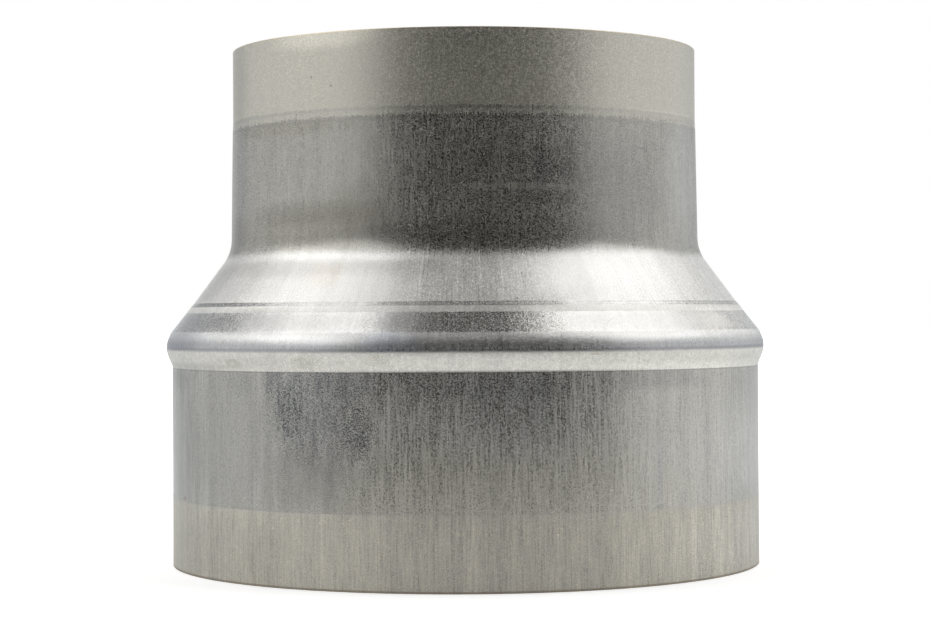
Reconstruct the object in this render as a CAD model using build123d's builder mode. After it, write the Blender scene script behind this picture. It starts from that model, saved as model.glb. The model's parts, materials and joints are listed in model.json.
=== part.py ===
from build123d import *

import os
from math import cos, radians, sin, tan

# Duct reducer: one pressed sheet-metal shell that joins a large round duct to a smaller one.
# The axis is +Z. The large rim stands on Z = 0, and the origin is at its centre.
# The skin is drawn as half a section, from the large rim up to the small one. The sheet lies on the
# skin's inner side, with one thickness all the way, and the section is turned about the axis.

# Sheet
WALL = 0.6
RIM_RADIUS = 0.15  # worn edge of the cut sheet, inside and outside, at both rims

# Large spigot, a plain cylinder
LARGE_DIAMETER = 124.0  # outside
LARGE_LENGTH = 41.8  # from the large rim to the crease under the bead
CREASE_RADIUS = 0.6  # hollow corner where the wall turns out to the bead

# Stop bead, a round ridge that the large duct is pushed up against
BEAD_PROUD = 1.2  # how far it stands out past the large spigot
BEAD_RADIUS = 5.3
BEAD_UNDER_ANGLE = 23.5  # its straight underside, from the axis

# Shoulder, a cone with two press lines near its foot. Each height is along the axis.
SHOULDER_ANGLE = 36.5  # from the axis
BAND_HEIGHT = 3.9  # flatter band above the bead
BAND_ANGLE = 38.0
STRIP_HEIGHT = 1.3  # narrow strip between the band and the press mark
MARK_HEIGHT = 0.7  # press mark, a narrow and flatter ring
MARK_ANGLE = 43.0
PRESS_LINE_RADIUS = 1.5  # softness of the small corners between these rings

# Small spigot, which narrows a little towards a straight tip
SMALL_DIAMETER = 99.0  # outside, at the neck's corner
SMALL_LENGTH = 42.3  # from the neck's corner to the small rim
NECK_RADIUS = 8.5  # hollow corner between shoulder and spigot
TIP_DIAMETER = 98.0  # outside
TIP_LENGTH = 15.2
TIP_STEP = 0.1  # how far the tip lies inside the wall below it
TIP_STEP_HEIGHT = 1.5


def lean(height, angle):
    """How far a wall comes in towards the axis over a height, at an angle from the axis."""
    return height * tan(radians(angle))


# Bead: its arc stands out as far as the bead does and touches the underside, which leaves the crease
# at the under angle. The corner is where the underside and the band would meet without the arc.
large_radius = LARGE_DIAMETER / 2
under = radians(BEAD_UNDER_ANGLE)
bead_rise = (BEAD_RADIUS - (BEAD_RADIUS - BEAD_PROUD) * cos(under)) / sin(under)
bead_centre_r = large_radius + BEAD_PROUD - BEAD_RADIUS
bead_centre_z = LARGE_LENGTH + bead_rise
bead_turn = radians(BEAD_UNDER_ANGLE + BAND_ANGLE)
to_corner = BEAD_RADIUS * tan(bead_turn / 2)
corner_r = bead_centre_r + BEAD_RADIUS * cos(under) + to_corner * sin(under)
corner_z = bead_centre_z - BEAD_RADIUS * sin(under) + to_corner * cos(under)

# Shoulder: the band starts where the bead's arc ends, and each ring starts where the last one ends.
band_r = bead_centre_r + BEAD_RADIUS * cos(radians(BAND_ANGLE))
band_z = bead_centre_z + BEAD_RADIUS * sin(radians(BAND_ANGLE))
strip_r = band_r - lean(BAND_HEIGHT, BAND_ANGLE)
strip_z = band_z + BAND_HEIGHT
mark_r = strip_r - lean(STRIP_HEIGHT, SHOULDER_ANGLE)
mark_z = strip_z + STRIP_HEIGHT
cone_r = mark_r - lean(MARK_HEIGHT, MARK_ANGLE)
cone_z = mark_z + MARK_HEIGHT

# Small spigot: its corner is where the cone has come in to the spigot's radius.
small_radius = SMALL_DIAMETER / 2
tip_radius = TIP_DIAMETER / 2
neck_z = cone_z + (cone_r - small_radius) / tan(radians(SHOULDER_ANGLE))
rim_z = neck_z + SMALL_LENGTH
tip_z = rim_z - TIP_LENGTH

skin_points = [
    (large_radius, 0),
    (large_radius, LARGE_LENGTH),
    (corner_r, corner_z),
    (strip_r, strip_z),
    (mark_r, mark_z),
    (cone_r, cone_z),
    (small_radius, neck_z),
    (tip_radius + TIP_STEP, tip_z - TIP_STEP_HEIGHT),
    (tip_radius, tip_z),
    (tip_radius, rim_z),
]
skin_radii = [
    CREASE_RADIUS,
    BEAD_RADIUS,
    PRESS_LINE_RADIUS,
    PRESS_LINE_RADIUS,
    PRESS_LINE_RADIUS,
    NECK_RADIUS,
    PRESS_LINE_RADIUS,
    PRESS_LINE_RADIUS,
]

with BuildPart() as reducer_shell:
    with BuildSketch(Plane.XZ) as section:
        with BuildLine() as skin:
            FilletPolyline(*skin_points, radius=skin_radii)
            offset(amount=WALL, side=Side.LEFT)
        make_face()
    revolve(axis=Axis.Z)
    levels = reducer_shell.edges().filter_by(GeomType.CIRCLE).group_by(Axis.Z)
    fillet(levels[0] + levels[-1], RIM_RADIUS)

reducer_shell.part.label = "reducer_shell"

os.makedirs("parts", exist_ok=True)
export_step(reducer_shell.part, "parts/reducer_shell.step")

size = reducer_shell.part.bounding_box().size
print(f"height {rim_z:.2f} mm, bead crest {bead_centre_z:.2f} mm up, neck corner {neck_z:.2f} mm up")
print(f"box {size.X:.2f} x {size.Y:.2f} x {size.Z:.2f} mm, volume {reducer_shell.part.volume:.0f} mm3")
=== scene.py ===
# %% [markdown]
# # A pressed duct reducer
# This lesson dresses one sheet-metal fitting: a shell that was drawn from a single blank of bare
# galvanised sheet. It has a large spigot, a rounded stop bead, a tapered shoulder and a small spigot.
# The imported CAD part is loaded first. It is the frame: it gives the sizes, and it is never moved.

# %% Load the frame
import json
import math
from collections import namedtuple

import bmesh
import bpy
from mathutils import Matrix, Vector
from mathutils.bvhtree import BVHTree


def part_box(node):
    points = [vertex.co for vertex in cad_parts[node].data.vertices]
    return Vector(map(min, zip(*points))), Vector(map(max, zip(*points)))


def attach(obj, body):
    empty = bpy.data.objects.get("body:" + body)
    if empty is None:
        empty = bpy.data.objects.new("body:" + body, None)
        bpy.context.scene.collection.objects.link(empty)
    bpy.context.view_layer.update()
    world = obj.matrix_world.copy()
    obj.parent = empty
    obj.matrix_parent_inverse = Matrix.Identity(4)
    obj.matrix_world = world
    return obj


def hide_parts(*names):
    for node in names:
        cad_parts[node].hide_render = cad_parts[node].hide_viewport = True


MM = 0.001
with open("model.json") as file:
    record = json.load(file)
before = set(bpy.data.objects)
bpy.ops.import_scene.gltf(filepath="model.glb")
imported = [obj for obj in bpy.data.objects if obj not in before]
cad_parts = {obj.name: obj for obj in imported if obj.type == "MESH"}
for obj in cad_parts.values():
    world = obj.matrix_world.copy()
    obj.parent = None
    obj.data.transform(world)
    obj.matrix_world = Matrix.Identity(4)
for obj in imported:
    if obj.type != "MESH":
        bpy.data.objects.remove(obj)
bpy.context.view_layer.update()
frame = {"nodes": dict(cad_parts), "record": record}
cad_low, cad_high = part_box("reducer_shell")
cad_shell = frame["nodes"]["reducer_shell"]
mounts = {mount["name"]: mount for mount in frame["record"]["mounts"]}
print("CAD box", [round(v / MM, 2) for v in cad_high - cad_low], "mm")

# %% [markdown]
# ## Sizes
# The frame knows both spigots, both bores, the overall height and how far the bead stands out. All but the
# small bore are read from it. What it doesn't name is the shape of the bead and the shoulder, which is
# given
# here as a draughtsman would: straight runs at an angle from the axis, and a radius for each corner.

# %% Sizes of the section
def mount_radius(name):
    return mounts[name]["dims"]["r_mm"] * MM


LARGE_RADIUS = mount_radius("large_spigot")
TIP_RADIUS = mount_radius("small_spigot")
WALL = LARGE_RADIUS - mount_radius("large_bore")
HEIGHT = cad_high.z
BEAD_PROUD = cad_high.x - LARGE_RADIUS
RIM_RADIUS = 0.15 * MM
LARGE_LENGTH = 41.8 * MM
CREASE_RADIUS = 0.6 * MM
BEAD_RADIUS = 5.3 * MM
BEAD_UNDER_ANGLE = math.radians(23.5)
BAND_ANGLE = math.radians(38.0)
BAND_HEIGHT = 3.9 * MM
SHOULDER_ANGLE = math.radians(36.5)
STRIP_HEIGHT = 1.3 * MM
MARK_ANGLE = math.radians(43.0)
MARK_HEIGHT = 0.7 * MM
PRESS_LINE_RADIUS = 1.5 * MM
NECK_RADIUS = 8.5 * MM
SMALL_RADIUS = 49.5 * MM
TIP_LENGTH = 15.2 * MM
TIP_STEP = 0.1 * MM
TIP_STEP_HEIGHT = 1.5 * MM

bead_rise = BEAD_RADIUS - (BEAD_RADIUS - BEAD_PROUD) * math.cos(BEAD_UNDER_ANGLE)
bead_r = LARGE_RADIUS + BEAD_PROUD - BEAD_RADIUS
bead_z = LARGE_LENGTH + bead_rise / math.sin(BEAD_UNDER_ANGLE)
bead_reach = BEAD_RADIUS * math.tan((BEAD_UNDER_ANGLE + BAND_ANGLE) / 2)
band_r = bead_r + BEAD_RADIUS * math.cos(BAND_ANGLE)
band_z = bead_z + BEAD_RADIUS * math.sin(BAND_ANGLE)
strip_r = band_r - BAND_HEIGHT * math.tan(BAND_ANGLE)
strip_z = band_z + BAND_HEIGHT
mark_r = strip_r - STRIP_HEIGHT * math.tan(SHOULDER_ANGLE)
mark_z = strip_z + STRIP_HEIGHT
cone_r = mark_r - MARK_HEIGHT * math.tan(MARK_ANGLE)
cone_z = mark_z + MARK_HEIGHT
neck_z = cone_z + (cone_r - SMALL_RADIUS) / math.tan(SHOULDER_ANGLE)
tip_z = HEIGHT - TIP_LENGTH
levels = {"bead": bead_z, "band": band_z, "strip": strip_z, "mark": mark_z, "cone": cone_z, "neck": neck_z}
print("levels in mm:", {name: round(z / MM, 2) for name, z in levels.items()})

# %% [markdown]
# ## The section
# Half a cut through the wall is a closed outline: up the outer skin, across the top rim, down the inner
# skin and back across the bottom rim. Only its corners are needed. Each is a point with the radius that
# rounds it, and the inner corners are the outer ones moved in by the sheet's thickness.

# %% Corners of the outer and inner skin
outer_corners = [
    (Vector((LARGE_RADIUS, 0)), RIM_RADIUS),
    (Vector((LARGE_RADIUS, LARGE_LENGTH)), CREASE_RADIUS),
    (
        Vector((band_r + bead_reach * math.sin(BAND_ANGLE), band_z - bead_reach * math.cos(BAND_ANGLE))),
        BEAD_RADIUS,
    ),
    (Vector((strip_r, strip_z)), PRESS_LINE_RADIUS),
    (Vector((mark_r, mark_z)), PRESS_LINE_RADIUS),
    (Vector((cone_r, cone_z)), PRESS_LINE_RADIUS),
    (Vector((SMALL_RADIUS, neck_z)), NECK_RADIUS),
    (Vector((TIP_RADIUS + TIP_STEP, tip_z - TIP_STEP_HEIGHT)), PRESS_LINE_RADIUS),
    (Vector((TIP_RADIUS, tip_z)), PRESS_LINE_RADIUS),
    (Vector((TIP_RADIUS, HEIGHT)), RIM_RADIUS),
]


def inward(start, end):
    """Unit normal of a run of the skin, towards the axis."""
    way = (end - start).normalized()
    return Vector((-way.y, way.x))


def moved_in(corners, wall):
    """The corners of the skin's other side. A bulging corner gets tighter, and a hollow one wider."""
    points = [point for point, radius in corners]
    moved = [(points[0] + inward(points[0], points[1]) * wall, corners[0][1])]
    for i in range(1, len(points) - 1):
        below = inward(points[i - 1], points[i])
        above = inward(points[i], points[i + 1])
        bulges = below.cross(above) > 0
        radius = corners[i][1] + (-wall if bulges else wall)
        moved.append((points[i] + (below + above) * wall / (1 + below.dot(above)), radius))
    moved.append((points[-1] + inward(points[-2], points[-1]) * wall, corners[-1][1]))
    return moved


inner_corners = moved_in(outer_corners, WALL)
outline = [(point, radius, 1.0) for point, radius in outer_corners]
outline += [(point, radius, 0.0) for point, radius in reversed(inner_corners)]
print(len(outline), "corners, wall", round(WALL / MM, 2), "mm")

# %% [markdown]
# ## Holding points
# A long straight run between two corners would be shaded as if it were curved, because smooth shading mixes
# the normals of its ends. So extra points go onto the straight runs: one close to each corner, which holds
# the shading flat, and more in between. The section becomes a mesh of edges. Each point carries its
# corner's radius, and a second number that says whether it lies on the outer skin.

# %% Section with its holding points
CIRCLE_RADIUS = 50 * MM
HOLD = 0.25 * MM
LONGEST_RUN = 4.0 * MM


def corner_reach(i):
    """How far from a corner its rounding starts."""
    before = (outline[i][0] - outline[i - 1][0]).normalized()
    after = (outline[(i + 1) % len(outline)][0] - outline[i][0]).normalized()
    return outline[i][1] * math.tan(before.angle(after) / 2)


section_points = []
for i, (point, radius, outside) in enumerate(outline):
    section_points.append((point, radius, outside))
    goal, goal_radius, goal_outside = outline[(i + 1) % len(outline)]
    length = (goal - point).length
    start = corner_reach(i) + HOLD
    stop = length - corner_reach((i + 1) % len(outline)) - HOLD
    if outside != goal_outside or stop <= start:
        continue
    steps = max(1, math.ceil((stop - start) / LONGEST_RUN))
    for k in range(steps + 1):
        along = (start + (stop - start) * k / steps) / length
        section_points.append((point.lerp(goal, along), 0.0, outside))

section_mesh = bpy.data.meshes.new("section")
count = len(section_points)
section_mesh.from_pydata(
    [(point.x - CIRCLE_RADIUS, -point.y, 0.0) for point, radius, outside in section_points],
    [(i, (i + 1) % count) for i in range(count)],
    [],
)
radii = section_mesh.attributes.new("corner_radius", "FLOAT", "POINT")
radii.data.foreach_set("value", [radius for point, radius, outside in section_points])
skins = section_mesh.attributes.new("outside", "FLOAT", "POINT")
skins.data.foreach_set("value", [outside for point, radius, outside in section_points])
section = bpy.data.objects.new("section", section_mesh)
bpy.context.scene.collection.objects.link(section)
print(count, "points in the section")

# %% [markdown]
# ## Small helpers for node trees
# Every tree below is built by script. One helper adds a node with its settings and inputs, where an input
# is either a plain value or another node's socket. The others are short names for sums that come up often.

# %% Node helpers
def add(tree, kind, settings=None, inputs=None):
    """A new node. Inputs go by name or by number, and a socket is linked."""
    node = tree.nodes.new(kind)
    for name, value in (settings or {}).items():
        setattr(node, name, value)
    for key, value in (inputs or {}).items():
        if isinstance(value, bpy.types.NodeSocket):
            tree.links.new(value, node.inputs[key])
        else:
            node.inputs[key].default_value = value
    return node


def calc(tree, operation, *values):
    """A Math node's result."""
    return add(tree, "ShaderNodeMath", {"operation": operation}, dict(enumerate(values))).outputs[0]


def ramped(tree, value, low, high, to_low=0.0, to_high=1.0):
    """A smooth step from one value to another, while the input goes from low to high."""
    inputs = {"Value": value, "From Min": low, "From Max": high, "To Min": to_low, "To Max": to_high}
    return add(tree, "ShaderNodeMapRange", {"interpolation_type": "SMOOTHSTEP"}, inputs).outputs["Result"]


def mixed(tree, amount, first, second, way="MIX"):
    """A Mix node for colours."""
    settings = {"data_type": "RGBA", "blend_type": way}
    return add(tree, "ShaderNodeMix", settings, {0: amount, 6: first, 7: second}).outputs[2]


def mixed_value(tree, amount, first, second):
    """A Mix node for plain numbers."""
    inputs = {0: amount, 2: first, 3: second}
    return add(tree, "ShaderNodeMix", {"data_type": "FLOAT"}, inputs).outputs[0]


def vector_calc(tree, operation, *values):
    """A Vector Math node's vector."""
    inputs = dict(enumerate(values))
    return add(tree, "ShaderNodeVectorMath", {"operation": operation}, inputs).outputs[0]


def scaled(tree, vector, amount):
    """A vector times a number."""
    inputs = {0: vector, "Scale": amount}
    return add(tree, "ShaderNodeVectorMath", {"operation": "SCALE"}, inputs).outputs[0]


def vector_length(tree, vector):
    """A vector's length."""
    return add(tree, "ShaderNodeVectorMath", {"operation": "LENGTH"}, {0: vector}).outputs["Value"]


def noise(tree, vector, scale, detail=2.0, roughness=0.5):
    """Noise from 0 to 1, with its middle at a half."""
    inputs = {"Vector": vector, "Scale": scale, "Detail": detail, "Roughness": roughness}
    return add(tree, "ShaderNodeTexNoise", {"noise_dimensions": "3D"}, inputs).outputs[0]


print("helpers ready")

# %% [markdown]
# ## Turning the section
# The real shell was drawn over round tools, so every cut through its axis is the same. In Blender that is
# one profile carried round a circle. Geometry Nodes do it in three steps: Mesh to Curve reads the section,
# Fillet Curve rounds each corner by its own radius, and Curve to Mesh carries it round. Both curves close
# on themselves, so the shell has no seam. A little noise then moves the wall in and out by a few hundredths
# of a millimetre, as on real sheet, so that reflections don't run dead straight.

# %% Geometry Nodes tree for a turned shell
INNER_BELOW = 0.25
OUTER_ABOVE = 0.75


def turned_shell_tree():
    tree = bpy.data.node_groups.new("turned_shell", "GeometryNodeTree")
    tree.is_modifier = True
    face = tree.interface
    face.new_socket("Section", in_out="INPUT", socket_type="NodeSocketGeometry")
    face.new_socket("Steps around", in_out="INPUT", socket_type="NodeSocketInt")
    face.new_socket("Steps in a corner", in_out="INPUT", socket_type="NodeSocketInt")
    face.new_socket("Circle radius", in_out="INPUT", socket_type="NodeSocketFloat")
    face.new_socket("Wobble", in_out="INPUT", socket_type="NodeSocketFloat")
    face.new_socket("Wobble size", in_out="INPUT", socket_type="NodeSocketFloat")
    face.new_socket("Wobble seed", in_out="INPUT", socket_type="NodeSocketFloat")
    face.new_socket("Outer sheet", in_out="INPUT", socket_type="NodeSocketMaterial")
    face.new_socket("Inner sheet", in_out="INPUT", socket_type="NodeSocketMaterial")
    face.new_socket("Cut edge", in_out="INPUT", socket_type="NodeSocketMaterial")
    face.new_socket("Shell", in_out="OUTPUT", socket_type="NodeSocketGeometry")
    given = tree.nodes.new("NodeGroupInput").outputs

    curve = add(tree, "GeometryNodeMeshToCurve", None, {"Mesh": given["Section"]})
    named_number = {"data_type": "FLOAT"}
    radius = add(tree, "GeometryNodeInputNamedAttribute", named_number, {"Name": "corner_radius"})
    rounded = add(
        tree,
        "GeometryNodeFilletCurve",
        {"mode": "POLY"},
        {
            "Curve": curve.outputs["Curve"],
            "Count": given["Steps in a corner"],
            "Radius": radius.outputs["Attribute"],
        },
    )
    circle = add(
        tree,
        "GeometryNodeCurvePrimitiveCircle",
        {"mode": "RADIUS"},
        {"Resolution": given["Steps around"], "Radius": given["Circle radius"]},
    )
    upright = add(tree, "GeometryNodeSetCurveNormal", {"mode": "Z_UP"}, {"Curve": circle.outputs["Curve"]})
    turned = add(
        tree,
        "GeometryNodeCurveToMesh",
        None,
        {"Curve": upright.outputs["Curve"], "Profile Curve": rounded.outputs["Curve"]},
    )

    outfacing = add(tree, "GeometryNodeFlipFaces", None, {"Mesh": turned.outputs["Mesh"]})

    place = add(tree, "GeometryNodeInputPosition").outputs["Position"]
    spot = add(
        tree,
        "ShaderNodeTexNoise",
        {"noise_dimensions": "4D"},
        {
            "Vector": place,
            "W": given["Wobble seed"],
            "Scale": calc(tree, "DIVIDE", 1.0, given["Wobble size"]),
            "Detail": 1.0,
        },
    ).outputs[0]
    amount = calc(tree, "MULTIPLY", calc(tree, "SUBTRACT", spot, 0.5), given["Wobble"])
    level = vector_calc(tree, "MULTIPLY", place, (1, 1, 0))
    push = scaled(tree, vector_calc(tree, "NORMALIZE", level), amount)
    moved = add(
        tree,
        "GeometryNodeSetPosition",
        None,
        {"Geometry": outfacing.outputs["Mesh"], "Offset": push},
    )
    smooth = add(tree, "GeometryNodeSetShadeSmooth", None, {"Geometry": moved.outputs["Geometry"]})
    real = add(tree, "GeometryNodeRealizeInstances", None, {"Geometry": smooth.outputs[0]})

    skin = add(tree, "GeometryNodeInputNamedAttribute", named_number, {"Name": "outside"})
    is_inner = calc(tree, "LESS_THAN", skin.outputs["Attribute"], INNER_BELOW)
    is_outer = calc(tree, "GREATER_THAN", skin.outputs["Attribute"], OUTER_ABOVE)
    shell = real.outputs[0]
    for material, chosen in (("Cut edge", True), ("Inner sheet", is_inner), ("Outer sheet", is_outer)):
        inputs = {"Geometry": shell, "Selection": chosen, "Material": given[material]}
        shell = add(tree, "GeometryNodeSetMaterial", None, inputs).outputs[0]
    tree.links.new(shell, tree.nodes.new("NodeGroupOutput").inputs["Shell"])
    return tree


shell_tree = turned_shell_tree()
print(shell_tree.name, "has", len(shell_tree.nodes), "nodes")

# %% [markdown]
# ## Marks that all of the sheet shares
# Zinc on drawn sheet shows tiny crystals, fine lines along the way the metal slid through the tools, and
# broader lines of the same kind. One node group makes them, and adds two plain noises, for ragged edges and
# for mottling. Each material takes what it needs. A Voronoi texture gives every crystal its own random
# value, which also tilts its facet a little. The lines follow the axis, because their noise is read at a
# point's direction from the axis and hardly changes with its height.

# %% Node group for the marks of the sheet
CRYSTAL_SIZE = 0.11 * MM
CRYSTAL_TILT = 0.10
MOTTLE_SIZE = 0.9 * MM
MOTTLE_ROUGHNESS = 0.6
MARKS_DETAIL = 3.0
Grain = namedtuple("Grain", "name size stretch roughness")
GRAINS = [
    Grain("Fine lines", 0.36 * MM, 0.05, 0.6),
    Grain("Broad lines", 3.2 * MM, 0.02, 0.5),
    Grain("Ragged", 3.0 * MM, 0.2, 0.6),
]


def sheet_marks_group():
    tree = bpy.data.node_groups.new("sheet_marks", "ShaderNodeTree")
    tree.interface.new_socket("Place", in_out="INPUT", socket_type="NodeSocketVector")
    for name in ("Crystals", "Fine lines", "Broad lines", "Ragged", "Mottle"):
        tree.interface.new_socket(name, in_out="OUTPUT", socket_type="NodeSocketFloat")
    tree.interface.new_socket("Facets", in_out="OUTPUT", socket_type="NodeSocketVector")
    place = tree.nodes.new("NodeGroupInput").outputs["Place"]
    given = tree.nodes.new("NodeGroupOutput").inputs

    cells = add(tree, "ShaderNodeTexVoronoi", None, {"Vector": place, "Scale": 1 / CRYSTAL_SIZE})
    parts = add(tree, "ShaderNodeSeparateColor", None, {0: cells.outputs["Color"]}).outputs
    centred = vector_calc(tree, "SUBTRACT", cells.outputs["Color"], (0.5, 0.5, 0.5))
    straight = add(tree, "ShaderNodeNewGeometry").outputs["Normal"]
    tilted = vector_calc(tree, "ADD", straight, scaled(tree, centred, CRYSTAL_TILT))
    tree.links.new(parts[0], given["Crystals"])
    tree.links.new(vector_calc(tree, "NORMALIZE", tilted), given["Facets"])

    level = vector_calc(tree, "MULTIPLY", place, (1, 1, 0))
    ring = scaled(tree, vector_calc(tree, "NORMALIZE", level), LARGE_RADIUS)
    for grain in GRAINS:
        rise = vector_calc(tree, "MULTIPLY", place, (0, 0, grain.stretch))
        along = vector_calc(tree, "ADD", ring, rise)
        lines = noise(tree, along, 1 / grain.size, MARKS_DETAIL, grain.roughness)
        tree.links.new(lines, given[grain.name])
    mottle = noise(tree, place, 1 / MOTTLE_SIZE, MARKS_DETAIL, MOTTLE_ROUGHNESS)
    tree.links.new(mottle, given["Mottle"])
    return tree


sheet_marks = sheet_marks_group()
print(sheet_marks.name, "gives", [item.name for item in sheet_marks.interface.items_tree][:-1])

# %% [markdown]
# ## A patch on the shell
# Stains, smudges and scratches each sit at one place on the skin: so many degrees round from the front, and
# so high up. The soft patches of painted light and shade sit the same way. This group turns a point's angle
# and height into a mask for such a patch. Noise is added to the distance, so its edge is never a clean
# ellipse. A scratch is the same thing, made very narrow.

# %% Node group for a patch
PATCH_CORE = 0.3
PATCH_EDGE = 1.15


def patch_group():
    tree = bpy.data.node_groups.new("patch", "ShaderNodeTree")
    for name in ("Where", "Middle", "Half size"):
        tree.interface.new_socket(name, in_out="INPUT", socket_type="NodeSocketVector")
    for name in ("Noise", "Ragged"):
        tree.interface.new_socket(name, in_out="INPUT", socket_type="NodeSocketFloat")
    tree.interface.new_socket("Mask", in_out="OUTPUT", socket_type="NodeSocketFloat")
    given = tree.nodes.new("NodeGroupInput").outputs
    aside = vector_calc(tree, "SUBTRACT", given["Where"], given["Middle"])
    steps = vector_calc(tree, "DIVIDE", aside, given["Half size"])
    away = calc(tree, "MULTIPLY_ADD", given["Noise"], given["Ragged"], vector_length(tree, steps))
    mask = ramped(tree, away, PATCH_CORE, PATCH_EDGE, 1.0, 0.0)
    tree.links.new(mask, tree.nodes.new("NodeGroupOutput").inputs["Mask"])
    return tree


patch_tree = patch_group()
print(patch_tree.name, "has", len(patch_tree.nodes), "nodes")

# %% [markdown]
# ## What the outer sheet shows
# The outer sheet is one metal with several finishes, one above the other. Near both rims the tools never
# touched the zinc, so it stays dull and warm. Between them the walls are ironed, the shoulder is bright,
# and a band above the bead is nearly polished. These tables list what is seen on it, in millimetres and
# in degrees from the front. A finish holds from its height up to the next row. A ring is a thin line all
# the way round. A patch stays inside the zone that its middle lies in. The colours of rings and patches
# multiply the finish below them.
#
# The patches come in two lists. Marks are stains, smudges and scratches of the metal, and two bands that
# only make the wall darker and bluer just below the bead. Soft shades stand for no mark: they make parts of
# the front lighter or darker, because these lamps don't throw quite the light that the photograph has. For
# a part that goes into other light they can be left out.

# %% Finishes, rings and patches
Finish = namedtuple("Finish", "start border loose colour metal rough crystals lines mottle")
FINISHES = [
    Finish(-1.0, 0.10, 0.0, (0.456, 0.441, 0.394), 0.92, 0.54, 0.18, 0.16, 0.02),
    Finish(14.6, 0.45, 1.6, (0.392, 0.387, 0.361), 1.00, 0.37, 0.165, 0.12, 0.02),
    Finish(41.50, 0.10, 0.0, (0.625, 0.618, 0.580), 0.90, 0.50, 0.10, 0.05, 0.08),
    Finish(45.32, 0.18, 0.3, (0.408, 0.411, 0.418), 1.00, 0.37, 0.11, 0.03, 0.02),
    # Upper part of the bead: the lighter colour is painted light on the side that faces up; its roughness
    # and metal share are the sheet's own.
    Finish(47.3, 1.10, 0.4, (0.620, 0.618, 0.610), 0.95, 0.45, 0.13, 0.05, 0.02),
    Finish(48.95, 0.08, 0.0, (0.478, 0.473, 0.463), 1.00, 0.23, 0.115, 0.06, 0.03),
    Finish(52.85, 0.08, 0.0, (0.640, 0.630, 0.602), 0.70, 0.44, 0.12, 0.05, 0.03),
    Finish(54.1, 0.08, 0.0, (0.385, 0.380, 0.370), 1.00, 0.22, 0.18, 0.05, 0.08),
    Finish(54.85, 0.08, 0.0, (0.672, 0.663, 0.640), 0.70, 0.46, 0.17, 0.07, 0.03),
    Finish(64.4, 1.20, 0.4, (0.356, 0.348, 0.322), 1.00, 0.37, 0.185, 0.09, 0.02),
    Finish(91.1, 0.20, 1.2, (0.440, 0.428, 0.389), 0.97, 0.42, 0.16, 0.05, 0.02),
    Finish(92.65, 0.15, 0.8, (0.485, 0.470, 0.422), 0.96, 0.45, 0.13, 0.02, 0.02),
]
ROUGH_GRAIN = 0.80
COLOUR_GRAIN = 1.25
ZONE_EDGES = [-1.0, 14.6, 41.50, 45.32, 54.0, 91.1, 200.0]

Ring = namedtuple("Ring", "height half loose colour rough broken")
RINGS = [
    Ring(0.2, 0.25, 0.0, (0.60, 0.54, 0.46), 0.05, 0.4),
    Ring(41.42, 0.10, 0.1, (0.72, 0.72, 0.72), 0.00, 0.5),
    Ring(45.55, 0.36, 0.3, (0.66, 0.665, 0.68), -0.03, 0.45),
    Ring(49.05, 0.12, 0.2, (1.15, 1.15, 1.15), 0.10, 0.3),
    Ring(54.15, 0.10, 0.3, (0.84, 0.83, 0.81), -0.03, 0.9),
    Ring(54.80, 0.10, 0.3, (0.84, 0.83, 0.81), -0.03, 0.9),
    Ring(90.70, 0.40, 1.2, (0.83, 0.83, 0.84), 0.00, 1.0),
    # A lighter dotted line along the tip's lower border: a painted highlight.
    Ring(91.25, 0.12, 0.8, (1.05, 1.04, 1.03), 0.00, 0.8),
    Ring(92.55, 0.32, 1.0, (0.82, 0.82, 0.83), 0.00, 1.0),
    Ring(107.7, 0.15, 0.0, (1.06, 0.98, 0.86), 0.00, 0.2),
]

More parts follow.
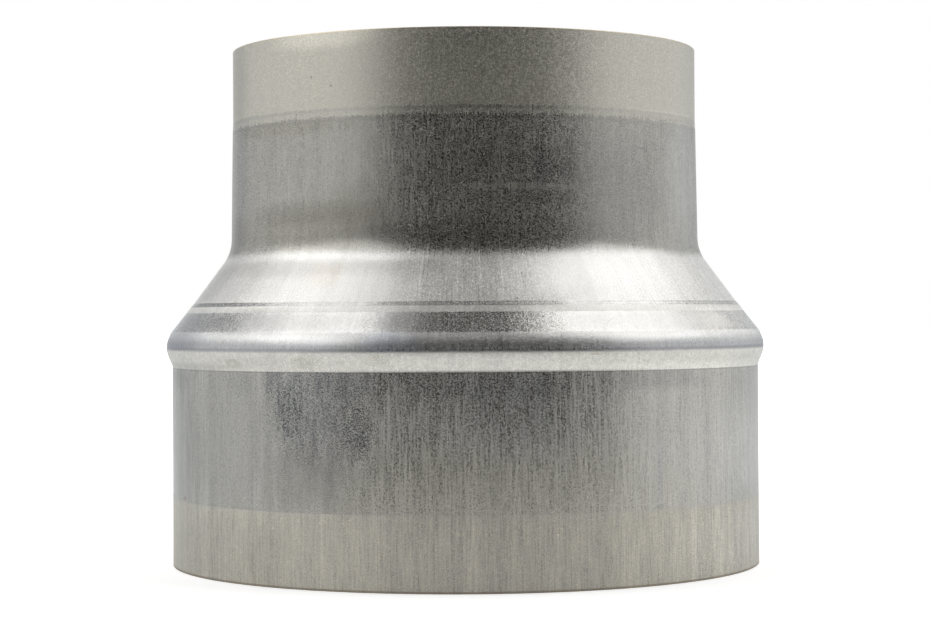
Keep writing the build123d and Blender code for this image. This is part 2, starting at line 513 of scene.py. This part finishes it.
Patch = namedtuple(
    "Patch",
    "angle height half_angle half_height colour rough grainy streaky ragged",
    defaults=(0.0, 0.0, 0.0, 1.2),
)
MARKS = [
    # Large wall: the stain under the bead with its runs, bluish bands beside it, a thin run and small spots
    Patch(-28.5, 35, 14, 14, (0.40, 0.42, 0.46), -0.06, 1.0, 0.4),
    Patch(-25, 31, 5, 16, (0.82, 0.82, 0.84), 0.00, 0.4, 0.3),
    Patch(-33, 33.5, 5.5, 7, (0.46, 0.48, 0.53), -0.06, 1.0, 0.3),
    Patch(-19.2, 30.5, 4.4, 8, (0.34, 0.36, 0.40), -0.07, 1.0, 0.2, 0.6),
    Patch(-27, 21, 12, 9, (0.84, 0.84, 0.85), 0.00, 0.3, 0.4),
    # The next two bands only make the wall darker and bluer just below the bead.
    Patch(-8, 39.5, 46, 5, (0.74, 0.755, 0.80), -0.04, 0.5, 0.3),
    Patch(9, 34, 15, 10, (0.74, 0.76, 0.82), -0.03, 0.5, 0.5),
    Patch(37, 22, 0.9, 8, (0.90, 0.92, 0.98), -0.02, 0.2),
    Patch(37, 15.2, 1.3, 0.6, (0.85, 0.86, 0.88), ragged=0.0),
    Patch(-66.8, 15.3, 0.9, 0.5, (0.78, 0.66, 0.70), ragged=0.3),
    # Underside of the bead: a ring left by a drop, dirt and a scratch
    Patch(-46.5, 43.0, 2.3, 1.1, (0.70, 0.69, 0.66), ragged=0.2),
    Patch(-46.5, 43.0, 1.5, 0.7, (1.34, 1.35, 1.39), ragged=0.2),
    Patch(-29, 43.3, 5, 1.8, (0.84, 0.83, 0.80), 0.00, 0.9, 0.0),
    Patch(-15, 43.8, 3, 1.6, (0.84, 0.83, 0.81), 0.00, 0.9, 0.0),
    Patch(23, 44.7, 1.8, 0.14, (0.80, 0.75, 0.68), ragged=0.6),
    # Shoulder: a smudge and upright scratches
    Patch(-30, 60, 6, 3.5, (0.96, 0.93, 0.89), 0.00, 0.5, 0.3),
    Patch(-1.5, 60, 0.25, 7, (1.30, 1.30, 1.30), 0.15),
    Patch(-9, 60, 0.20, 6, (1.25, 1.25, 1.25), 0.12),
    Patch(3.2, 60, 0.20, 6, (1.25, 1.25, 1.25), 0.12),
    Patch(7.5, 60, 0.20, 6, (1.25, 1.25, 1.25), 0.12),
    # Small wall: rub marks, stains and two nicks
    Patch(-24, 73.5, 12, 7, (0.82, 0.805, 0.79), 0.00, 0.4, 0.2, 0.8),
    Patch(14, 77.1, 16, 0.8, (1.25, 1.24, 1.20), 0.10, 0.3, 0.4),
    Patch(17, 74.8, 10, 1.8, (0.80, 0.80, 0.82), -0.03, 0.5, 0.3),
    Patch(20, 81, 6, 5, (0.80, 0.81, 0.86), -0.03, 0.4, 0.3),
    Patch(45.8, 85.1, 1.6, 0.25, (0.72, 0.72, 0.74), ragged=0.3),
    Patch(53.5, 85.4, 1.6, 0.25, (0.72, 0.72, 0.74), ragged=0.3),
    Patch(-50, 89.4, 30, 1.8, (0.86, 0.84, 0.81), 0.00, 0.6, 0.2, 0.8),
    # Tip: specks and faint spots
    Patch(-32.0, 97.2, 0.4, 0.35, (0.62, 0.60, 0.56), ragged=0.0),
    Patch(-37.8, 99.1, 0.4, 0.35, (0.66, 0.64, 0.60), ragged=0.0),
    Patch(46, 98.5, 2.0, 1.1, (0.955, 0.955, 0.955), ragged=0.3),
    Patch(56, 97.5, 2.2, 1.1, (0.955, 0.955, 0.955), ragged=0.3),
    Patch(67, 99, 2.6, 1.1, (0.955, 0.955, 0.955), ragged=0.3),
]
SOFT_SHADES = [
    # Foot
    Patch(60, 7, 26, 10, (1.14, 1.14, 1.15)),
    Patch(-52, 7, 26, 10, (0.91, 0.91, 0.91)),
    # Large wall
    Patch(0, 18, 50, 12, (0.97, 0.95, 0.92)),
    Patch(-46, 28, 38, 28, (0.75, 0.755, 0.765), 0.00, 0.0, 0.2),
    Patch(38, 39.8, 14, 2.8, (0.87, 0.87, 0.88), ragged=0.5),
    Patch(-72, 39.5, 10, 3, (0.87, 0.87, 0.88), ragged=0.5),
    Patch(62, 24, 24, 14, (1.08, 1.08, 1.09), 0.02, ragged=0.6),
    Patch(68, 25, 14, 10, (1.09, 1.09, 1.10), ragged=0.4),
    # Underside of the bead
    Patch(-56, 43.5, 38, 3.4, (0.87, 0.87, 0.87), ragged=0.6),
    Patch(45, 42.0, 32, 1.5, (1.14, 1.14, 1.14), ragged=0.6),
    Patch(-66, 41.9, 22, 1.2, (0.84, 0.84, 0.84), ragged=0.5),
    # Bead
    Patch(-69, 47.2, 16, 2.4, (0.78, 0.79, 0.82), ragged=0.4),
    Patch(-13, 47, 6, 2.6, (0.94, 0.97, 1.04)),
    Patch(-30, 47.3, 14, 1.3, (1.16, 1.16, 1.16), ragged=0.3),
    # Band
    Patch(-40, 51, 30, 3.4, (0.74, 0.74, 0.735), 0.00, 0.3, 0.0, 0.4),
    Patch(-64, 51, 18, 3.4, (0.78, 0.78, 0.79), 0.00, 0.3, 0.0, 0.4),
    Patch(-45, 51, 12, 3.4, (0.74, 0.74, 0.745), 0.02, 0.3, 0.0, 0.3),
    Patch(-9.5, 51, 6, 3.4, (0.78, 0.78, 0.78), 0.00, 0.3, 0.0, 0.3),
    Patch(14, 51, 7, 3.4, (1.34, 1.33, 1.31), 0.03, ragged=0.3),
    Patch(38, 51, 30, 3.4, (0.92, 0.915, 0.90), 0.08, ragged=0.3),
    Patch(53, 51, 9, 3.4, (1.12, 1.115, 1.10), 0.10, ragged=0.3),
    Patch(66, 51, 20, 3.4, (1.35, 1.34, 1.32), 0.06, ragged=0.3),
    # Press mark
    Patch(58, 54.45, 32, 0.5, (1.50, 1.50, 1.47), 0.10, ragged=0.4),
    Patch(-60, 54.45, 22, 0.5, (0.80, 0.80, 0.80), 0.00, 0.4, 0.0, 0.4),
    Patch(-7, 54.45, 7, 0.5, (0.74, 0.74, 0.74), 0.00, 0.4, 0.0, 0.4),
    # Cone
    Patch(40, 61.5, 30, 6, (1.08, 1.08, 1.08), ragged=0.3),
    Patch(-42, 61.8, 44, 2.4, (0.86, 0.855, 0.85), ragged=0.6),
    Patch(-72, 58, 12, 8, (0.82, 0.82, 0.83), ragged=0.6),
    Patch(-60, 59.5, 22, 8, (0.84, 0.84, 0.845), ragged=0.3),
    Patch(-11, 61.5, 8, 3, (0.87, 0.87, 0.87), ragged=0.3),
    Patch(13, 59.0, 10, 5, (1.26, 1.26, 1.25), ragged=0.3),
    # Neck and small wall
    Patch(34, 76, 26, 15, (0.77, 0.78, 0.80), -0.02, 0.3, 0.3, 0.6),
    Patch(-40, 69.0, 40, 5.5, (0.84, 0.825, 0.805), 0.00, 0.3, 0.2, 0.5),
    Patch(-38, 72.5, 26, 3.2, (0.79, 0.785, 0.775), 0.00, 0.3, 0.2, 0.3),
    Patch(8, 78.5, 18, 12, (0.83, 0.83, 0.84), -0.01, 0.3, 0.3, 0.5),
    Patch(2, 67.8, 46, 4.5, (0.74, 0.74, 0.75), -0.02, 0.3, 0.2, 0.6),
    Patch(-36, 64.7, 40, 2.4, (1.24, 1.24, 1.25), ragged=0.3),
    Patch(-16, 64.5, 9, 2.4, (1.17, 1.17, 1.17), ragged=0.3),
    Patch(66, 80, 14, 16, (1.14, 1.155, 1.19), 0.04, ragged=0.4),
    Patch(-71, 69, 8, 5, (0.84, 0.84, 0.845), ragged=0.4),
    Patch(-69, 80, 5, 18, (0.89, 0.90, 0.93), -0.02, 0.2, 0.0, 0.4),
    Patch(60, 90.7, 26, 0.8, (1.12, 1.12, 1.11), 0.03, ragged=0.4),
    # Tip
    Patch(60, 92.5, 26, 0.8, (1.13, 1.13, 1.12), 0.03, ragged=0.4),
    Patch(-72, 100, 9, 14, (0.88, 0.88, 0.89), ragged=0.2),
    Patch(-35, 106.9, 18, 2.8, (1.30, 1.30, 1.29), 0.05, ragged=0.3),
]
PATCHES = MARKS + SOFT_SHADES
print(len(FINISHES), "finishes,", len(RINGS), "rings,", len(MARKS), "marks,", len(SOFT_SHADES), "shades")

# %% [markdown]
# ## The outer sheet's material
# Now the tables become nodes. Masks by height mix the finishes, then each ring and each patch multiplies
# the colour and may change the roughness. A grainy patch takes crystals one by one, as a real stain does,
# and a streaky one follows the fine lines. Last comes the grain, in the colour and in the roughness. Where
# the sheet mirrors something dark, a rough crystal still catches light from the side and sparkles, and
# where it mirrors something bright most of the grain vanishes.

# %% Outer sheet
EDGE_TINT = (0.58, 0.60, 0.62, 1)  # the metal's tint at a grazing angle
WANDER_CRYSTALS = 0.5  # the crystals' share in how a border wanders
WANDER_MIDDLE = 0.75
RING_CORE = 0.5  # a ring is full up to this share of its half width
RING_EDGE = 1.5  # and gone from here on
DASH_EDGES = (0.42, 0.58)
DOT_EDGES = (0.75, 1.25)
PICK_SPAN = 0.85  # lets a patch pick about two thirds of its crystals at most
PICK_SOFT = 0.2
SPECK_POWER = 4.0  # leaves only the brightest crystals
SPECK_GAIN = 5.0  # with this they change nothing on average
LINE_EDGES = (0.3, 0.7)
BROAD_EDGES = (0.25, 0.75)


def by_height(masks, values, mix):
    """One value per finish, mixed from the floor up."""
    result = values[0]
    for mask, value in zip(masks, values[1:]):
        result = mix(mask, result, value)
    return result


def outer_sheet_material():
    material = bpy.data.materials.new("outer_sheet")
    material.use_nodes = True
    tree = material.node_tree
    shader = tree.nodes["Principled BSDF"]
    place = add(tree, "ShaderNodeTexCoord").outputs["Object"]
    marks = add(tree, "ShaderNodeGroup", {"node_tree": sheet_marks}, {"Place": place}).outputs
    axes = add(tree, "ShaderNodeSeparateXYZ", None, {0: place}).outputs
    height = calc(tree, "DIVIDE", axes["Z"], MM)
    front = calc(tree, "MULTIPLY", axes["Y"], -1.0)
    angle = calc(tree, "DEGREES", calc(tree, "ARCTAN2", axes["X"], front))

    def mix_colour(mask, below, above):
        return mixed(tree, mask, below, above)

    def mix_number(mask, below, above):
        return mixed_value(tree, mask, below, above)

    wander = calc(tree, "MULTIPLY_ADD", marks["Crystals"], WANDER_CRYSTALS, marks["Fine lines"])
    wander = calc(tree, "SUBTRACT", wander, WANDER_MIDDLE)
    masks = []
    for finish in FINISHES[1:]:
        shifted = calc(tree, "MULTIPLY_ADD", wander, finish.loose, height)
        masks.append(ramped(tree, shifted, finish.start - finish.border, finish.start + finish.border))
    colour = by_height(masks, [(*finish.colour, 1) for finish in FINISHES], mix_colour)
    metal = by_height(masks, [finish.metal for finish in FINISHES], mix_number)
    rough = by_height(masks, [finish.rough for finish in FINISHES], mix_number)
    crystals = by_height(masks, [finish.crystals for finish in FINISHES], mix_number)
    lines = by_height(masks, [finish.lines for finish in FINISHES], mix_number)
    mottle = by_height(masks, [finish.mottle for finish in FINISHES], mix_number)

    dashes = ramped(tree, marks["Fine lines"], *DASH_EDGES)
    dots = ramped(tree, calc(tree, "ADD", marks["Fine lines"], marks["Crystals"]), *DOT_EDGES)
    for ring in RINGS:
        shifted = calc(tree, "MULTIPLY_ADD", wander, ring.loose, height)
        off = calc(tree, "ABSOLUTE", calc(tree, "SUBTRACT", shifted, ring.height))
        near = ramped(tree, off, ring.half * RING_CORE, ring.half * RING_EDGE, 1.0, 0.0)
        left_over = calc(tree, "MULTIPLY_ADD", dots, ring.broken, 1.0 - ring.broken)
        mask = calc(tree, "MULTIPLY", near, left_over)
        colour = mixed(tree, mask, colour, (*ring.colour, 1), "MULTIPLY")
        rough = calc(tree, "MULTIPLY_ADD", mask, ring.rough, rough)

    where = add(tree, "ShaderNodeCombineXYZ", None, {0: angle, 1: height}).outputs[0]
    edges = [calc(tree, "GREATER_THAN", height, edge) for edge in ZONE_EDGES]
    zones = [calc(tree, "SUBTRACT", low, high) for low, high in zip(edges, edges[1:])]
    unrest = calc(tree, "SUBTRACT", marks["Ragged"], 0.5)
    for patch in PATCHES:
        inputs = {
            "Where": where,
            "Middle": (patch.angle, patch.height, 0),
            "Half size": (patch.half_angle, patch.half_height, 1),
            "Noise": unrest,
            "Ragged": patch.ragged,
        }
        mask = add(tree, "ShaderNodeGroup", {"node_tree": patch_tree}, inputs).outputs["Mask"]
        zone = max(i for i, edge in enumerate(ZONE_EDGES) if edge <= patch.height)
        mask = calc(tree, "MULTIPLY", mask, zones[zone])
        if patch.streaky:
            streaks = calc(tree, "MULTIPLY_ADD", dashes, patch.streaky, 1.0 - patch.streaky)
            mask = calc(tree, "MULTIPLY", mask, streaks)
        if patch.grainy:
            level = calc(tree, "MULTIPLY_ADD", mask, PICK_SPAN, -PICK_SOFT)
            above = calc(tree, "SUBTRACT", level, marks["Crystals"])
            picked = ramped(tree, above, -PICK_SOFT, PICK_SOFT)
            mask = mixed_value(tree, patch.grainy, mask, picked)
        colour = mixed(tree, mask, colour, (*patch.colour, 1), "MULTIPLY")
        if patch.rough:
            rough = calc(tree, "MULTIPLY_ADD", mask, patch.rough, rough)

    few = calc(tree, "POWER", marks["Crystals"], SPECK_POWER)
    speck = calc(tree, "MULTIPLY_ADD", few, SPECK_GAIN, -1.0)
    line = ramped(tree, marks["Fine lines"], *LINE_EDGES, -1.0, 1.0)
    scatter = calc(tree, "MULTIPLY_ADD", line, lines, calc(tree, "MULTIPLY", speck, crystals))
    rough = calc(tree, "MULTIPLY_ADD", scatter, ROUGH_GRAIN, rough)
    streak = calc(tree, "MULTIPLY", ramped(tree, marks["Broad lines"], *BROAD_EDGES, -0.5, 0.5), lines)
    shade = calc(tree, "ADD", calc(tree, "MULTIPLY_ADD", scatter, COLOUR_GRAIN, 1.0), streak)
    cloud = ramped(tree, marks["Mottle"], *LINE_EDGES, -1.0, 1.0)
    shade = calc(tree, "MULTIPLY", shade, calc(tree, "MULTIPLY_ADD", cloud, mottle, 1.0))
    grey = add(tree, "ShaderNodeCombineColor", None, {0: shade, 1: shade, 2: shade}).outputs[0]
    tree.links.new(mixed(tree, 1.0, colour, grey, "MULTIPLY"), shader.inputs["Base Color"])
    tree.links.new(rough, shader.inputs["Roughness"])
    tree.links.new(marks["Facets"], shader.inputs["Normal"])
    tree.links.new(metal, shader.inputs["Metallic"])
    shader.inputs["Specular Tint"].default_value = EDGE_TINT
    return material


outer_sheet = outer_sheet_material()
print(outer_sheet.name, "has", len(outer_sheet.node_tree.nodes), "nodes")

# %% [markdown]
# ## The inner sheet and the cut edge
# The inner skin and the cut edges at both rims are simpler. They use the same marks, with soft stains in
# place of the tables, so one function makes both. The cut edge is bare steel, browner than the zinc.

# %% Inner sheet and cut edge
SPOT_EDGES = (0.40, 0.70)
STREAK_EDGES = (0.96, 1.04)


def plain_sheet_material(name, colour, stain, rough, crystals, lines):
    """Bare metal with the shared marks: stained in soft spots, and grained by crystals and lines."""
    material = bpy.data.materials.new(name)
    material.use_nodes = True
    tree = material.node_tree
    shader = tree.nodes["Principled BSDF"]
    place = add(tree, "ShaderNodeTexCoord").outputs["Object"]
    marks = add(tree, "ShaderNodeGroup", {"node_tree": sheet_marks}, {"Place": place}).outputs
    spots = ramped(tree, marks["Mottle"], *SPOT_EDGES)
    tinted = mixed(tree, spots, (*colour, 1), (*stain, 1))
    speck = calc(tree, "MULTIPLY_ADD", marks["Crystals"], 2.0, -1.0)
    line = ramped(tree, marks["Fine lines"], *LINE_EDGES, -1.0, 1.0)
    scatter = calc(tree, "MULTIPLY_ADD", line, lines, calc(tree, "MULTIPLY", speck, crystals))
    streak = ramped(tree, marks["Broad lines"], *BROAD_EDGES, *STREAK_EDGES)
    shade = calc(tree, "MULTIPLY", calc(tree, "ADD", scatter, 1.0), streak)
    grey = add(tree, "ShaderNodeCombineColor", None, {0: shade, 1: shade, 2: shade}).outputs[0]
    tree.links.new(mixed(tree, 1.0, tinted, grey, "MULTIPLY"), shader.inputs["Base Color"])
    tree.links.new(calc(tree, "MULTIPLY_ADD", scatter, ROUGH_GRAIN, rough), shader.inputs["Roughness"])
    tree.links.new(marks["Facets"], shader.inputs["Normal"])
    shader.inputs["Metallic"].default_value = 1.0
    return material


inner_sheet = plain_sheet_material(
    "inner_sheet", (0.46, 0.45, 0.42), (0.41, 0.40, 0.37), rough=0.42, crystals=0.15, lines=0.08
)
cut_edge = plain_sheet_material(
    "cut_edge", (0.40, 0.36, 0.31), (0.30, 0.25, 0.20), rough=0.48, crystals=0.18, lines=0.05
)
print("materials:", outer_sheet.name, inner_sheet.name, cut_edge.name)

# %% [markdown]
# ## The finished shell
# The tree gets its numbers and materials here, and its result is stored as a plain mesh. What is printed
# then shows that the mesh has no open edges, what volume it has, and how far it lies from the CAD skin at
# most. Last, the shell rides on the frame and takes the CAD part's place.

# %% Turn the shell
shell_inputs = {
    "Steps around": 256,
    "Steps in a corner": 7,
    "Circle radius": CIRCLE_RADIUS,
    "Wobble": 0.08 * MM,
    "Wobble size": 26 * MM,
    "Wobble seed": 3.0,
    "Outer sheet": outer_sheet,
    "Inner sheet": inner_sheet,
    "Cut edge": cut_edge,
}
turning = section.modifiers.new("turning", "NODES")
turning.node_group = shell_tree
for item in shell_tree.interface.items_tree:
    if item.in_out == "INPUT" and item.name in shell_inputs:
        turning[item.identifier] = shell_inputs[item.name]

depsgraph = bpy.context.evaluated_depsgraph_get()
shell_mesh = bpy.data.meshes.new_from_object(section.evaluated_get(depsgraph))
shell_mesh.name = "pressed_shell"
shell = bpy.data.objects.new("pressed_shell", shell_mesh)
bpy.context.scene.collection.objects.link(shell)
bpy.data.objects.remove(section)

work = bmesh.new()
work.from_mesh(shell_mesh)
volume = work.calc_volume(signed=True)
open_edges = sum(1 for edge in work.edges if not edge.is_manifold)
work.free()
shell_mesh.calc_loop_triangles()
print(len(shell_mesh.loop_triangles), "triangles, open edges", open_edges)
print("volume", round(volume / MM**3), "mm3, box", [round(v / MM, 2) for v in shell.dimensions])

cad_skin = BVHTree.FromObject(cad_shell, depsgraph)
gaps = [cad_skin.find_nearest(vertex.co)[3] for vertex in shell_mesh.vertices]
print("largest gap to the CAD skin", round(max(gaps) / MM, 3), "mm")

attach(shell, "root")
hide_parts("reducer_shell")

# %% [markdown]
# ## The room and its floor
# Metal shows what stands around it. Here that is first of all a white room with a white floor. The floor
# is matte, so it keeps the shell's shadow. A little glow lifts it to white where a camera or a mirror sees
# it. Far from the shell the camera sees it plain white, so that the cloth's own shadow stays out of the
# picture.

# %% World and floor
world = bpy.data.worlds.new("white_room")
bpy.context.scene.world = world
world.use_nodes = True
world.node_tree.nodes["Background"].inputs["Color"].default_value = (1, 1, 1, 1)
world.node_tree.nodes["Background"].inputs["Strength"].default_value = 1.0

FLOOR_REACH = 6.0
FLOOR_LIFT = 0.42
FLOOR_NEAR = 0.15
FLOOR_FAR = 0.40
PAPER_COLOUR = (0.8, 0.8, 0.8, 1)
floor_mesh = bpy.data.meshes.new("floor")
floor_mesh.from_pydata(
    [(FLOOR_REACH * x, FLOOR_REACH * y, 0) for x, y in ((-1, -1), (1, -1), (1, 1), (-1, 1))],
    [],
    [(0, 1, 2, 3)],
)
floor = bpy.data.objects.new("floor", floor_mesh)
bpy.context.scene.collection.objects.link(floor)
paper = bpy.data.materials.new("white_paper")
paper.use_nodes = True
tree = paper.node_tree
tree.nodes.clear()
path = add(tree, "ShaderNodeLightPath").outputs
spot = add(tree, "ShaderNodeTexCoord").outputs["Object"]
bright = ramped(tree, vector_length(tree, spot), FLOOR_NEAR, FLOOR_FAR, FLOOR_LIFT, 1.0)
lift = calc(tree, "MULTIPLY", path["Is Camera Ray"], bright)
lift = calc(tree, "MULTIPLY_ADD", path["Is Glossy Ray"], FLOOR_LIFT, lift)
matte = add(tree, "ShaderNodeBsdfDiffuse", None, {"Color": PAPER_COLOUR}).outputs[0]
glow = add(tree, "ShaderNodeEmission", None, {"Color": (1, 1, 1, 1), "Strength": lift}).outputs[0]
both = add(tree, "ShaderNodeAddShader", None, {0: matte, 1: glow}).outputs[0]
add(tree, "ShaderNodeOutputMaterial", None, {"Surface": both})
floor_mesh.materials.append(paper)
print("floor", 2 * FLOOR_REACH, "m wide")

# %% [markdown]
# ## The dark cloth
# The walls have a dark middle, because something dark stood in front of them, around the camera. Here it is
# a cloth: it lies on the floor, starting a little way off, and then bends up and over like a quarter of a
# dome. It is solid in the middle and fades out towards its sides, towards its near edge and towards the
# top, so its reflection has no hard borders. The camera looks through it.

# %% Dark cloth in front
CLOTH_RADIUS = 0.9
CLOTH_NEAR = 0.14
CLOTH_LIFT = 0.002
CLOTH_HALF_ANGLE = math.radians(66)
CLOTH_TOP = math.radians(88)
CLOTH_TURN = math.radians(6)
CLOTH_COLOUR = (0.13, 0.125, 0.11, 1)
CLOTH_SIDES = (0.42, 0.88)
CLOTH_ONSET = (0.18, 0.44)
CLOTH_THINS_FROM = 0.955 * CLOTH_RADIUS
CLOTH_TOP_COVER = 0.5
STEPS_AROUND = 24
STEPS_OUT = 6
STEPS_UP = 12

cloth_rows = []
for k in range(STEPS_OUT + 1):
    cloth_rows.append((CLOTH_NEAR + (CLOTH_RADIUS - CLOTH_NEAR) * k / STEPS_OUT, CLOTH_LIFT))
for k in range(1, STEPS_UP + 1):
    rise = CLOTH_TOP * k / STEPS_UP
    cloth_rows.append((CLOTH_RADIUS * math.cos(rise), CLOTH_RADIUS * math.sin(rise)))
cloth_points = []
cloth_faces = []
for k, (reach, level) in enumerate(cloth_rows):
    for i in range(STEPS_AROUND + 1):
        turn = CLOTH_HALF_ANGLE * (2 * i / STEPS_AROUND - 1)
        cloth_points.append((reach * math.sin(turn), -reach * math.cos(turn), level))
        if i and k:
            corner = k * (STEPS_AROUND + 1) + i
            below = corner - STEPS_AROUND - 1
            cloth_faces.append((below - 1, below, corner, corner - 1))
cloth_mesh = bpy.data.meshes.new("dark_cloth")
cloth_mesh.from_pydata(cloth_points, [], cloth_faces)
cloth = bpy.data.objects.new("dark_cloth", cloth_mesh)
bpy.context.scene.collection.objects.link(cloth)
cloth.visible_camera = False

flag = bpy.data.materials.new("dark_cloth")
flag.use_nodes = True
tree = flag.node_tree
tree.nodes.clear()
spot = add(tree, "ShaderNodeTexCoord").outputs["Object"]
axes = add(tree, "ShaderNodeSeparateXYZ", None, {0: spot}).outputs
reach = vector_length(tree, vector_calc(tree, "MULTIPLY", spot, (1, 1, 0)))
aimed = calc(tree, "MULTIPLY", axes["X"], math.sin(CLOTH_TURN))
aimed = calc(tree, "MULTIPLY_ADD", axes["Y"], -math.cos(CLOTH_TURN), aimed)
middle = ramped(tree, calc(tree, "DIVIDE", aimed, reach), *CLOTH_SIDES)
onset = ramped(tree, calc(tree, "ADD", reach, axes["Z"]), *CLOTH_ONSET)
overhead = ramped(tree, axes["Z"], CLOTH_THINS_FROM, CLOTH_RADIUS, 1.0, CLOTH_TOP_COVER)
cover = calc(tree, "MULTIPLY", calc(tree, "MULTIPLY", middle, onset), overhead)
clear = add(tree, "ShaderNodeBsdfTransparent").outputs[0]
dark = add(tree, "ShaderNodeBsdfDiffuse", None, {"Color": CLOTH_COLOUR}).outputs[0]
soft = add(tree, "ShaderNodeMixShader", None, {0: cover, 1: clear, 2: dark}).outputs[0]
add(tree, "ShaderNodeOutputMaterial", None, {"Surface": soft})
cloth_mesh.materials.append(flag)
print("cloth", round(math.degrees(2 * CLOTH_HALF_ANGLE)), "degrees wide,", len(cloth_faces), "faces")

# %% [markdown]
# ## Soft lamps
# Two large lamps above, left and right, give the shoulder its two bright fields. A small one at the left
# front lights the neck, and a weak one behind at the right lifts the edge on that side. A lamp's power is
# worked out from its area, so the number given for each is how bright it looks next to the white room.

# %% Soft lamps
Lamp = namedtuple("Lamp", "name direction distance width height brightness")
LAMPS = [
    Lamp("left_softbox", (-0.67, 0.11, 0.74), 1.2, 0.8, 0.9, 1.5),
    Lamp("left_front_softbox", (-0.73, -0.46, 0.50), 0.8, 0.36, 0.36, 0.9),
    Lamp("right_softbox", (0.66, 0.02, 0.75), 1.2, 1.05, 0.9, 1.6),
    Lamp("rear_softbox", (0.75, 0.62, 0.12), 1.3, 0.7, 0.6, 0.30),
]
for lamp in LAMPS:
    light = bpy.data.lights.new(lamp.name, "AREA")
    light.shape = "RECTANGLE"
    light.size = lamp.width
    light.size_y = lamp.height
    light.energy = lamp.brightness * math.pi * lamp.width * lamp.height
    softbox = bpy.data.objects.new(lamp.name, light)
    direction = Vector(lamp.direction)
    softbox.location = direction.normalized() * lamp.distance + Vector((0, 0, HEIGHT / 2))
    softbox.rotation_euler = direction.to_track_quat("Z", "Y").to_euler()
    softbox.visible_camera = False
    bpy.context.scene.collection.objects.link(softbox)

# %% [markdown]
# ## Camera
# The camera stands level with the shoulder, with a long lens. It leans by a third of a degree, as the
# photograph does.

# %% Camera
IMAGE_WIDTH = 930
IMAGE_HEIGHT = 620
SENSOR_WIDTH = 36.0
FOCAL_PIXELS = 2336.4
HORIZON_ROW = 313.5
EYE_DISTANCE = 498.5 * MM
EYE_HEIGHT = 52.4 * MM
EYE_LEAN = math.radians(-0.31)

camera_data = bpy.data.cameras.new("camera")
camera_data.sensor_width = SENSOR_WIDTH
camera_data.lens = FOCAL_PIXELS / IMAGE_WIDTH * SENSOR_WIDTH
camera = bpy.data.objects.new("camera", camera_data)
pitch = math.atan((HORIZON_ROW - (IMAGE_HEIGHT - 1) / 2) / FOCAL_PIXELS)
upright = Matrix.Rotation(math.radians(90) + pitch, 4, "X")
lean = Matrix.Rotation(EYE_LEAN, 4, "Z")
camera.matrix_world = Matrix.Translation((0, -EYE_DISTANCE, EYE_HEIGHT)) @ upright @ lean
bpy.context.scene.collection.objects.link(camera)
bpy.context.scene.camera = camera
bpy.context.scene.view_settings.view_transform = "Standard"
print("lens", round(camera_data.lens, 2), "mm")
